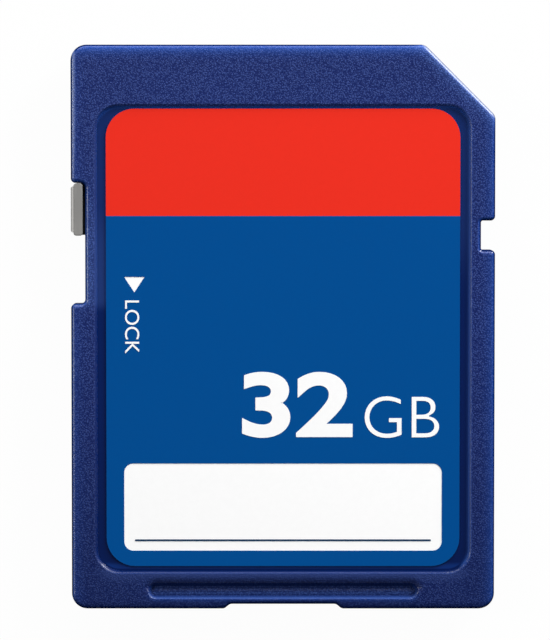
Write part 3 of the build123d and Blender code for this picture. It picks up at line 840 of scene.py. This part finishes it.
# Zones of the slider's painted highlight and painted shade: millimetres in from the card's left edge, and
# slopes.
FINGER_RIDGE = (0.03, 0.07, 0.12, 0.19)
FINGER_RIDGE_UP = (0.1, 0.4)
KNOB_ROOT = (0.62, 0.7)
KNOB_LOWER_SIDE = (-0.2, -0.7)
KNOB_LOWER_SHADE = 0.6
FLOW_TONE = 0.9
RIDGE_HIGHLIGHT_TONE = 2.4
SHADED_TONE = 0.12
FLOW_SIZE = 0.5 * MM
FLOW_STRETCH = (1.0, 4.0, 1.0)
SLIDER_GRAIN = 0.07 * MM
SLIDER_GRAIN_DEPTH = 0.004 * MM
SLIDER_GRAIN_ROUGHNESS = 0.2
SLIDER_IOR = 1.5


def slider_finish(look):
    """Light grey plastic with faint flow marks and a fine matt grain, a painted highlight on the finger ridge
    and painted shade at the knob's root and lower side.
    """
    finish = Finish("slider_plastic")
    from_left = finish.axes()[0] - CAD_LOW.x * PER_MM
    along, up = finish.facing()[1:]
    flow = finish.noise(FLOW_SIZE, stretch=FLOW_STRETCH)
    grain = finish.noise(SLIDER_GRAIN)
    # Painted highlight on the finger ridge, and painted shade at the knob's root in the slot and on its lower
    # side.
    painted_highlight = from_left.band(*FINGER_RIDGE) * up.ease(*FINGER_RIDGE_UP)
    shaded = from_left.ease(*KNOB_ROOT).higher(along.ease(*KNOB_LOWER_SIDE) * KNOB_LOWER_SHADE)
    tone = finish.blend(flow.ease(*SOFT), scaled(look.plastic, FLOW_TONE), look.plastic)
    bright = finish.blend(painted_highlight, tone, scaled(look.plastic, RIDGE_HIGHLIGHT_TONE))
    colour = finish.blend(shaded, bright, scaled(look.plastic, SHADED_TONE))
    roughness = look.roughness + (grain - 0.5) * SLIDER_GRAIN_ROUGHNESS
    normal = finish.relief(grain, SLIDER_GRAIN_DEPTH)
    return finish.surface(colour, roughness, normal, constants={"IOR": SLIDER_IOR})


# The row of contacts and the track of a socket's spring on each, in millimetres.
CONTACT_PITCH = 2.5
CONTACT_1_PLACE = 6.875
TRACK_ACROSS = (0.3, 0.12)
TRACK_ALONG = (10.6, 11.0)
TRACK_SCRATCHES = (0.3, 0.5)
TRACK_SHARE = 0.5
TRACK_TONE = 0.55
TRACK_ROUGHNESS = 0.14
TARNISH_SIZE = 0.8 * MM
TARNISH = (0.3, 0.75)
TARNISH_SHARE = 0.6
TARNISH_TONE = 0.72
TARNISH_ROUGHNESS = 0.06
SCRATCH_SIZE = 0.035 * MM
SCRATCH_STRETCH = (1.0, 30.0, 1.0)
SCRATCHES = (0.35, 0.75)
SCRATCH_ROUGHNESS = 0.16
SCRATCH_DEPTH = 0.0016 * MM
GOLD_ROUGHNESS = 0.2


def gold_finish(look):
    """Plated contacts with lengthwise rubbing and the wear track that a socket's spring leaves on each."""
    finish = Finish("contact_gold")
    x, y = finish.axes()[:2]
    scratches = finish.noise(SCRATCH_SIZE, detail=3.0, stretch=SCRATCH_STRETCH)
    tarnish = finish.noise(TARNISH_SIZE)
    off_contact = (x - CONTACT_1_PLACE + CONTACT_PITCH / 2).off_middle(CONTACT_PITCH)
    track = off_contact.ease(*TRACK_ACROSS) * y.ease(*TRACK_ALONG) * scratches.ease(*TRACK_SCRATCHES)
    tone = finish.blend(tarnish.ease(*TARNISH) * TARNISH_SHARE, look.gold, scaled(look.gold, TARNISH_TONE))
    worn = finish.blend(track * TRACK_SHARE, tone, scaled(look.gold, TRACK_TONE))
    roughness = GOLD_ROUGHNESS + scratches.ease(*SCRATCHES) * SCRATCH_ROUGHNESS
    roughness += tarnish * TARNISH_ROUGHNESS + track * TRACK_ROUGHNESS
    normal = finish.relief(scratches, SCRATCH_DEPTH)
    return finish.surface(worn, roughness, normal, metallic=1.0)


# The board's glass weave and copper runs, in millimetres.
WEAVE_PITCH = 0.4
WEAVE_SHARE = 0.12
RUN_PITCH = 0.62
RUN_EDGE = (0.2, 0.14)
RUN_WANDER = 2.4
RUN_WANDER_SIZE = 2.6 * MM
RUN_HEIGHT = 0.012 * MM
BARE_TONE = 0.62
LACQUER_CLOUD = 0.5 * MM
LACQUER_CLOUD_SHARE = 0.25
LACQUER_CLOUD_TONE = 0.5
LACQUER_ROUGHNESS = 0.28
LACQUER_CLOUD_ROUGHNESS = 0.12
LACQUER_IOR = 1.52


def board_finish(look):
    """Lacquered board: glass weave under the mask and copper runs that stand out a little."""
    finish = Finish("board_lacquer")
    x, y = finish.axes()[:2]
    warp, weft = (place.off_middle(WEAVE_PITCH) / (WEAVE_PITCH / 2) for place in (x, y))
    weave = warp * (1.0 - weft) + weft * (1.0 - warp)
    wander = finish.noise(RUN_WANDER_SIZE, detail=0.0) * RUN_WANDER
    runs = (x + wander).off_middle(RUN_PITCH).ease(*RUN_EDGE)
    cloud = finish.noise(LACQUER_CLOUD)
    tone = finish.blend(runs, scaled(look.mask, BARE_TONE), look.mask)
    shaded = finish.blend(cloud * LACQUER_CLOUD_SHARE, tone, scaled(look.mask, LACQUER_CLOUD_TONE))
    roughness = LACQUER_ROUGHNESS + cloud * LACQUER_CLOUD_ROUGHNESS
    normal = finish.relief(runs + weave * WEAVE_SHARE, RUN_HEIGHT)
    return finish.surface(shaded, roughness, normal, constants={"IOR": LACQUER_IOR})


EPOXY_GRAIN = 0.05 * MM
EPOXY_GRAIN_DEPTH = 0.006 * MM
EPOXY_PITS = (0.4, 0.75)
EPOXY_PIT_TONE = 0.6
EPOXY_CLOUD = 1.4 * MM
EPOXY_CLOUD_ROUGHNESS = 0.14
EPOXY_ROUGHNESS = 0.5
EPOXY_IOR = 1.55


def epoxy_finish(look):
    """Black moulding compound with its fine eroded grain."""
    finish = Finish("chip_epoxy")
    grain = finish.noise(EPOXY_GRAIN, detail=3.0, roughness=0.65)
    cloud = finish.noise(EPOXY_CLOUD)
    tone = finish.blend(grain.ease(*EPOXY_PITS), scaled(look.epoxy, EPOXY_PIT_TONE), look.epoxy)
    roughness = EPOXY_ROUGHNESS + cloud * EPOXY_CLOUD_ROUGHNESS
    normal = finish.relief(grain, EPOXY_GRAIN_DEPTH)
    return finish.surface(tone, roughness, normal, constants={"IOR": EPOXY_IOR})


CERAMIC_ROUGHNESS = 0.45
GLAZE_ROUGHNESS = 0.25
SPECKLE_SIZE = 0.05 * MM
SPECKLE_DEPTH = 0.004 * MM
SPECKLE_TONE = 0.82
SPECKLE_ROUGHNESS = 0.12
TIN_EDGE = 0.012
TIN_RISE = 1.5
TIN_ROUGHNESS = 0.34


def small_part_finish(name, names, body, shine, look):
    """A small part's glazed body between its two tinned ends."""
    finish = Finish(name)
    y = finish.axes()[1]
    low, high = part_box(names[0])
    middle = (low.y + high.y) / 2 * PER_MM
    bare_half = ((high.y - low.y) / 2 - look.terminal) * PER_MM
    tinned = abs(y - middle).ease(bare_half - TIN_EDGE, bare_half + TIN_EDGE)
    speckle = finish.noise(SPECKLE_SIZE)
    core = finish.blend(speckle.ease(*PATCHY), scaled(body, SPECKLE_TONE), body)
    colour = finish.blend(tinned, core, look.tin)
    roughness = shine + tinned * (TIN_ROUGHNESS - shine) + (speckle - 0.5) * SPECKLE_ROUGHNESS
    normal = finish.relief(speckle + tinned * TIN_RISE, SPECKLE_DEPTH)
    return finish.surface(colour, roughness, normal, metallic=tinned)


SOLDER_PATCH = 0.12 * MM
SOLDER_PATCH_DEPTH = 0.004 * MM
SOLDER_PATCH_TONE = 0.75
SOLDER_PATCH_ROUGHNESS = 0.2
SOLDER_ROUGHNESS = 0.22
SOLDER_STEPS = 8


def solder_finish(look):
    """Bright solder with the dull patches of its grain."""
    finish = Finish("solder")
    patches = finish.noise(SOLDER_PATCH)
    tone = finish.blend(patches.ease(*PATCHY), look.tin, scaled(look.tin, SOLDER_PATCH_TONE))
    roughness = SOLDER_ROUGHNESS + patches * SOLDER_PATCH_ROUGHNESS
    normal = finish.relief(patches, SOLDER_PATCH_DEPTH)
    return finish.surface(tone, roughness, normal, metallic=1.0)


def fillet_outline(graph, given):
    """A closed curve round a fillet's section: a hollow quarter arc, one unit high, and its inner corner."""
    steps = Value(graph, given["Steps"])
    number = graph.value("GeometryNodeInputIndex")
    turn = number / (steps - 1.0) * QUARTER_TURN
    curved = number.below(steps)
    reach = (1.0 - turn.sine()) * Value(graph, given["Reach"]) * curved
    climb = (1.0 - turn.cosine()) * curved
    corner = graph.output("ShaderNodeCombineXYZ", None, {"X": reach, "Y": climb})
    points = graph.output("GeometryNodePoints", None, {"Count": steps + 1.0})
    placed = graph.output("GeometryNodeSetPosition", None, {"Geometry": points, "Position": corner})
    curve = graph.output("GeometryNodePointsToCurves", None, {"Points": placed})
    return graph.output("GeometryNodeSetSplineCyclic", None, {0: curve, "Cyclic": True})


def fillet_solid(graph, outline):
    """The section swept one unit wide and closed at both ends. It stands on the board and reaches to +Y."""
    near = graph.output("GeometryNodeFillCurve", {"mode": "NGONS"}, {"Curve": outline})
    sweep = {"Mesh": near, "Offset": (0.0, 0.0, 1.0), "Offset Scale": 1.0, "Individual": False}
    swept = graph.output("GeometryNodeExtrudeMesh", None, sweep)
    back = graph.output("GeometryNodeFlipFaces", None, {"Mesh": near})
    join = graph.node("GeometryNodeJoinGeometry")
    graph.feed(join.inputs[0], swept)
    graph.feed(join.inputs[0], back)
    merge = {"Geometry": join.outputs[0], "Distance": MERGE}
    whole = graph.output("GeometryNodeMergeByDistance", None, merge)
    turned = (QUARTER_TURN, 0.0, QUARTER_TURN)
    move = {"Geometry": whole, "Translation": (-0.5, 0.0, 0.0), "Rotation": turned}
    return graph.output("GeometryNodeTransform", None, move)


def solder_tree():
    """Geometry Nodes that set a hollow-sided fillet at each marked point, turned and scaled by its marks."""
    tree = bpy.data.node_groups.new("solder_joints", "GeometryNodeTree")
    kinds = {"Ends": "Geometry", "Reach": "Float", "Steps": "Int", "Solder": "Material"}
    for name, kind in kinds.items():
        tree.interface.new_socket(name=name, in_out="INPUT", socket_type="NodeSocket" + kind)
    tree.interface.new_socket(name="Joints", in_out="OUTPUT", socket_type="NodeSocketGeometry")
    graph = Graph(tree)
    given = graph.node("NodeGroupInput").outputs
    fillet = fillet_solid(graph, fillet_outline(graph, given))
    turn, wide, climb = (
        graph.output("GeometryNodeInputNamedAttribute", {"data_type": "FLOAT"}, {"Name": name}, "Attribute")
        for name in ("turn", "wide", "climb")
    )
    spin = graph.output("ShaderNodeCombineXYZ", None, {"Z": turn})
    size = graph.output("ShaderNodeCombineXYZ", None, {"X": wide, "Y": 1.0, "Z": climb})
    facing = graph.output("FunctionNodeEulerToRotation", None, {"Euler": spin})
    copies = {"Points": given["Ends"], "Instance": fillet, "Rotation": facing, "Scale": size}
    instances = graph.output("GeometryNodeInstanceOnPoints", None, copies)
    real = graph.output("GeometryNodeRealizeInstances", None, {"Geometry": instances})
    coat = {"Geometry": real, "Material": given["Solder"]}
    graph.node("NodeGroupOutput", None, {0: graph.output("GeometryNodeSetMaterial", None, coat)})
    return tree


def grown(name, tree, places, marks, inputs):
    """The plain mesh that a Geometry Nodes tree makes on points with marks."""
    points = bpy.data.meshes.new(name)
    points.from_pydata(places, [], [])
    for key, numbers in marks.items():
        points.attributes.new(key, "FLOAT", "POINT").data.foreach_set("value", numbers)
    holder = bpy.data.objects.new(name, points)
    nodes = holder.modifiers.new(name, "NODES")
    nodes.node_group = tree
    for socket in tree.interface.items_tree:
        if socket.name in inputs:
            nodes[socket.identifier] = inputs[socket.name]
    bpy.context.scene.collection.objects.link(holder)
    mesh = plain_mesh(holder, name)
    bpy.data.meshes.remove(points)
    return mesh


# The lettering: how bold its strokes are, its height in millimetres, how many times wider it is drawn, the
# place of its lower left corner in millimetres, and its turn about that corner in degrees.
LETTERING = {
    "lock_legend": dict(weight=0.0, height=0.81, stretch=1.0, corner=(-8.95, 1.55), turn=-90.0),
    "capacity_number": dict(weight=0.03, height=3.75, stretch=1.32, corner=(-2.32, -6.25), turn=0.0),
    "capacity_unit": dict(weight=-0.012, height=2.36, stretch=1.0, corner=(4.63, -6.25), turn=0.0),
}
LETTER_STEPS = 8
LETTER_MERGE = 0.0005


def lettering(name, words, weight):
    """Plain words as a solid mesh, one unit high and thick, its lower left corner at the origin."""
    curve = bpy.data.curves.new(name, "FONT")
    curve.body = words
    curve.offset = weight
    curve.extrude = 0.5
    curve.resolution_u = LETTER_STEPS
    holder = bpy.data.objects.new(name, curve)
    bpy.context.scene.collection.objects.link(holder)
    mesh = plain_mesh(holder, name)
    bpy.data.curves.remove(curve)
    clean(mesh, LETTER_MERGE)
    low = Vector([min(v.co[axis] for v in mesh.vertices) for axis in range(3)])
    high = Vector([max(v.co[axis] for v in mesh.vertices) for axis in range(3)])
    mesh.transform(Matrix.Translation(-low))
    rise = 1.0 / (high.y - low.y)
    mesh.transform(Matrix.Diagonal((rise, rise, 1.0 / (high.z - low.z), 1.0)))
    return mesh


class FinishHousing(bpy.types.Operator):
    """Gives both shells their eroded plastic"""

    bl_idname = "memory_card.finish_housing"
    bl_label = "Finish the housing"

    def execute(self, context):
        dress(SHELLS, housing_finish(looks().housing))
        return {"FINISHED"}


class FinishLabel(bpy.types.Operator):
    """Gives the film and its inks their colours"""

    bl_idname = "memory_card.finish_label"
    bl_label = "Finish the label"

    def execute(self, context):
        look = looks().label
        inks = {
            "front_label": ("label_film_print", look.film),
            "red_print": ("red_ink_print", look.red),
            "blue_print": ("blue_ink_print", look.blue),
            "writing_line": ("line_ink_print", look.line),
        }
        for node, (name, colour) in inks.items():
            dress([node], ink_finish(name, colour, look.roughness))
        return {"FINISHED"}


class PrintLettering(bpy.types.Operator):
    """Prints the slider's legend and a plain number on the label"""

    bl_idname = "memory_card.print_lettering"
    bl_label = "Print the lettering"

    def execute(self, context):
        look = looks().label
        ink = ink_finish("white_ink_print", look.white, look.roughness)
        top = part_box("blue_print")[1].z
        words = {"lock_legend": "LOCK", "capacity_number": look.capacity, "capacity_unit": look.unit}
        for name, form in LETTERING.items():
            mesh = lettering(name, words[name], form["weight"])
            size = form["height"] * MM
            across, along = (place * MM for place in form["corner"])
            mesh.transform(Matrix.Diagonal((size * form["stretch"], size, look.ink_height, 1.0)))
            mesh.transform(Matrix.Rotation(math.radians(form["turn"]), 4, "Z"))
            mesh.transform(Matrix.Translation((across, along, top)))
            new_piece(name, mesh, ink, CARD)
        return {"FINISHED"}


class FinishSlider(bpy.types.Operator):
    """Gives the lock slider its grey plastic"""

    bl_idname = "memory_card.finish_slider"
    bl_label = "Finish the slider"

    def execute(self, context):
        dress(["lock_slider"], slider_finish(looks().slider))
        return {"FINISHED"}


class FinishContacts(bpy.types.Operator):
    """Gives the nine contacts their worn plating"""

    bl_idname = "memory_card.finish_contacts"
    bl_label = "Finish the contacts"

    def execute(self, context):
        dress(CONTACTS, gold_finish(looks().board))
        return {"FINISHED"}


class FinishBoard(bpy.types.Operator):
    """Gives the board its lacquer, and the chips and small parts on it their finishes"""

    bl_idname = "memory_card.finish_board"
    bl_label = "Finish the board"

    def execute(self, context):
        look = looks().board
        dress(["circuit_board"], board_finish(look))
        dress(CHIPS, epoxy_finish(look))
        small_parts = (
            ("capacitor_ceramic", CAPACITORS, look.ceramic, CERAMIC_ROUGHNESS),
            ("resistor_glaze", RESISTORS, look.resistive, GLAZE_ROUGHNESS),
        )
        for name, names, body, shine in small_parts:
            dress(names, small_part_finish(name, names, body, shine, look))
        return {"FINISHED"}


class AddSolder(bpy.types.Operator):
    """Adds the solder fillets at the ends of the small parts"""

    bl_idname = "memory_card.add_solder"
    bl_label = "Add the solder"

    def execute(self, context):
        look = looks().board
        solder = solder_finish(look)
        places = []
        marks = {"turn": [], "wide": [], "climb": []}
        for name in (*CAPACITORS, *RESISTORS):
            low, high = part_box(name)
            for end, turn in ((high.y, 0.0), (low.y, math.pi)):
                places.append(((low.x + high.x) / 2, end, low.z))
                marks["turn"].append(turn)
                marks["wide"].append(high.x - low.x)
                marks["climb"].append((high.z - low.z) * look.climb)
        inputs = {"Reach": look.fillet, "Steps": SOLDER_STEPS, "Solder": solder}
        mesh = grown("solder_joints", solder_tree(), places, marks, inputs)
        if not mesh.polygons:
            raise RuntimeError("no solder was made")
        clean(mesh, MERGE)
        new_piece("solder_joints", mesh, solder, CARD)
        return {"FINISHED"}


# The round floor: radii of its flat rings, and the bend that turns it up into a wall.
FLOOR_RINGS = (0.03, 0.08, 0.2, 0.42)
FLOOR_BEND = 0.22
FLOOR_TURN = math.radians(80.0)
FLOOR_STEPS = 12
FLOOR_SEGMENTS = 96
FLOOR_BELOW_CARD = 0.01 * MM
FLOOR_SEEN = (0.8, 0.8, 0.8)
FLOOR_BOUNCE = (0.2, 0.2, 0.2)
WHITE = (1.0, 1.0, 1.0)

# The lamps: where each stands, and how wide and high it is. Unmirrored ones aren't seen in a reflection.
LAMPS = {
    "key": ((0.04, 0.30, 0.124), (0.52, 0.20)),
    "left": ((-0.24, 0.02, 0.17), (0.07, 0.048)),
    "right": ((0.24, 0.05, 0.11), (0.16, 0.12)),
    "glint": ((0.19, 0.19, 0.075), (0.05, 0.13)),
}
UNMIRRORED_LAMPS = ("right",)

# The camera: height of the picture that its scale counts in, and how near and far it sees.
IMAGE_HEIGHT = 640.0
NEAREST = 0.005
FARTHEST = 10.0


def floor_mesh():
    """A round floor that curves up into a wall all round."""
    profile = [(radius, 0.0) for radius in FLOOR_RINGS]
    for step in range(1, FLOOR_STEPS + 1):
        turn = FLOOR_TURN * step / FLOOR_STEPS
        radius = FLOOR_RINGS[-1] + FLOOR_BEND * math.sin(turn)
        profile.append((radius, FLOOR_BEND * (1.0 - math.cos(turn))))
    mesh = bpy.data.meshes.new("floor")
    build = bmesh.new()
    rings = []
    for radius, height in profile:
        ring = []
        for number in range(FLOOR_SEGMENTS):
            turn = 2 * math.pi * number / FLOOR_SEGMENTS
            ring.append(build.verts.new((radius * math.cos(turn), radius * math.sin(turn), height)))
        rings.append(ring)
    build.faces.new(rings[0])
    for inner, outer in zip(rings, rings[1:]):
        for number in range(FLOOR_SEGMENTS):
            after = (number + 1) % FLOOR_SEGMENTS
            build.faces.new((inner[number], outer[number], outer[after], inner[after]))
    for face in build.faces:
        face.smooth = True
    bmesh.ops.recalc_face_normals(build, faces=build.faces)
    build.to_mesh(mesh)
    build.free()
    return mesh


def floor_finish(look):
    """Near white for the camera, dim in reflections, with the card's own faint shadow left in."""
    finish = Finish("studio_white")
    path = finish.node("ShaderNodeLightPath")
    camera, glossy, through = (
        Value(finish, path.outputs[ray]) for ray in ("Is Camera Ray", "Is Glossy Ray", "Is Transmission Ray")
    )
    share = (camera * look.backdrop).higher(glossy.higher(through) * look.mirrored)
    glow = finish.output("ShaderNodeEmission", None, {"Color": WHITE, "Strength": 1.0})
    bounce = finish.output("ShaderNodeBsdfDiffuse", None, {"Color": FLOOR_BOUNCE})
    seen = finish.output("ShaderNodeBsdfDiffuse", None, {"Color": FLOOR_SEEN})
    return finish.closed(finish.mixed(share, finish.mixed(camera, bounce, seen), glow))


def add_floor(scene, look):
    floor = bpy.data.objects.new("floor", floor_mesh())
    floor.location.z = -FLOOR_BELOW_CARD
    floor.data.materials.append(floor_finish(look))
    scene.collection.objects.link(floor)


def add_softbox(scene, name, radiance):
    """A rectangular lamp that looks at the card and isn't seen itself."""
    place, size = LAMPS[name]
    lamp = bpy.data.lights.new(name, "AREA")
    lamp.shape = "RECTANGLE"
    lamp.size, lamp.size_y = size
    lamp.energy = radiance * math.pi * size[0] * size[1]
    holder = bpy.data.objects.new(name, lamp)
    holder.location = place
    holder.rotation_euler = (-Vector(place)).to_track_quat("-Z", "Y").to_euler()
    holder.visible_camera = False
    holder.visible_glossy = name not in UNMIRRORED_LAMPS
    scene.collection.objects.link(holder)


def add_sky(scene, look):
    """Even light from all round."""
    world = bpy.data.worlds.new("studio")
    world.use_nodes = True
    sky = Graph(world.node_tree)
    sky.tree.nodes.clear()
    even = sky.output("ShaderNodeBackground", None, {"Color": WHITE, "Strength": look.sky})
    sky.node("ShaderNodeOutputWorld", None, {"Surface": even})
    scene.world = world


def add_camera(scene, look):
    """A long lens over the card's face, which leans a little to the contact end."""
    optics = bpy.data.cameras.new("camera")
    optics.lens = look.lens
    optics.clip_start = NEAREST
    optics.clip_end = FARTHEST
    camera = bpy.data.objects.new("camera", optics)
    aim = Vector((look.aim_x, look.aim_y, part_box("front_shell")[1].z))
    distance = IMAGE_HEIGHT / look.scale * MM * look.lens / optics.sensor_width
    back = Vector((0.0, math.sin(look.tilt), math.cos(look.tilt)))
    camera.location = aim + back * distance
    camera.rotation_euler = (-look.tilt, 0.0, 0.0)
    scene.collection.objects.link(camera)
    scene.camera = camera


class BuildStage(bpy.types.Operator):
    """Makes the floor, the lamps, the even light and the camera"""

    bl_idname = "memory_card.build_stage"
    bl_label = "Build the stage"

    def execute(self, context):
        look = looks().studio
        scene = context.scene
        add_floor(scene, look)
        for name in LAMPS:
            add_softbox(scene, name, getattr(look, name))
        add_sky(scene, look)
        add_camera(scene, look)
        scene.view_settings.view_transform = "Standard"
        return {"FINISHED"}


OPERATORS = (
    FinishHousing,
    FinishLabel,
    PrintLettering,
    FinishSlider,
    FinishContacts,
    FinishBoard,
    AddSolder,
    BuildStage,
)


class MemoryCardPanel(bpy.types.Panel):
    """Lists the card's steps and their values"""

    bl_idname = "VIEW3D_PT_memory_card"
    bl_label = "Memory card"
    bl_space_type = "VIEW_3D"
    bl_region_type = "UI"
    bl_category = "Memory card"

    def draw(self, context):
        look = context.scene.memory_card
        for operator in OPERATORS:
            self.layout.operator(operator.bl_idname)
        for group in (look.housing, look.label, look.slider, look.board, look.studio):
            box = self.layout.box()
            for key in group.bl_rna.properties.keys():
                if key not in ("rna_type", "name"):
                    box.prop(group, key)


GROUPS = (HousingLook, LabelLook, SliderLook, BoardLook, StudioLook, MemoryCardLook)


def register():
    for kind in (*GROUPS, *OPERATORS, MemoryCardPanel):
        bpy.utils.register_class(kind)
    bpy.types.Scene.memory_card = PointerProperty(type=MemoryCardLook)


def unregister():
    del bpy.types.Scene.memory_card
    for kind in reversed((*GROUPS, *OPERATORS, MemoryCardPanel)):
        bpy.utils.unregister_class(kind)


def main():
    register()
    bpy.ops.memory_card.finish_housing()
    bpy.ops.memory_card.finish_label()
    bpy.ops.memory_card.print_lettering()
    bpy.ops.memory_card.finish_slider()
    bpy.ops.memory_card.finish_contacts()
    bpy.ops.memory_card.finish_board()
    bpy.ops.memory_card.add_solder()
    bpy.ops.memory_card.build_stage()


if __name__ == "__main__":
    main()
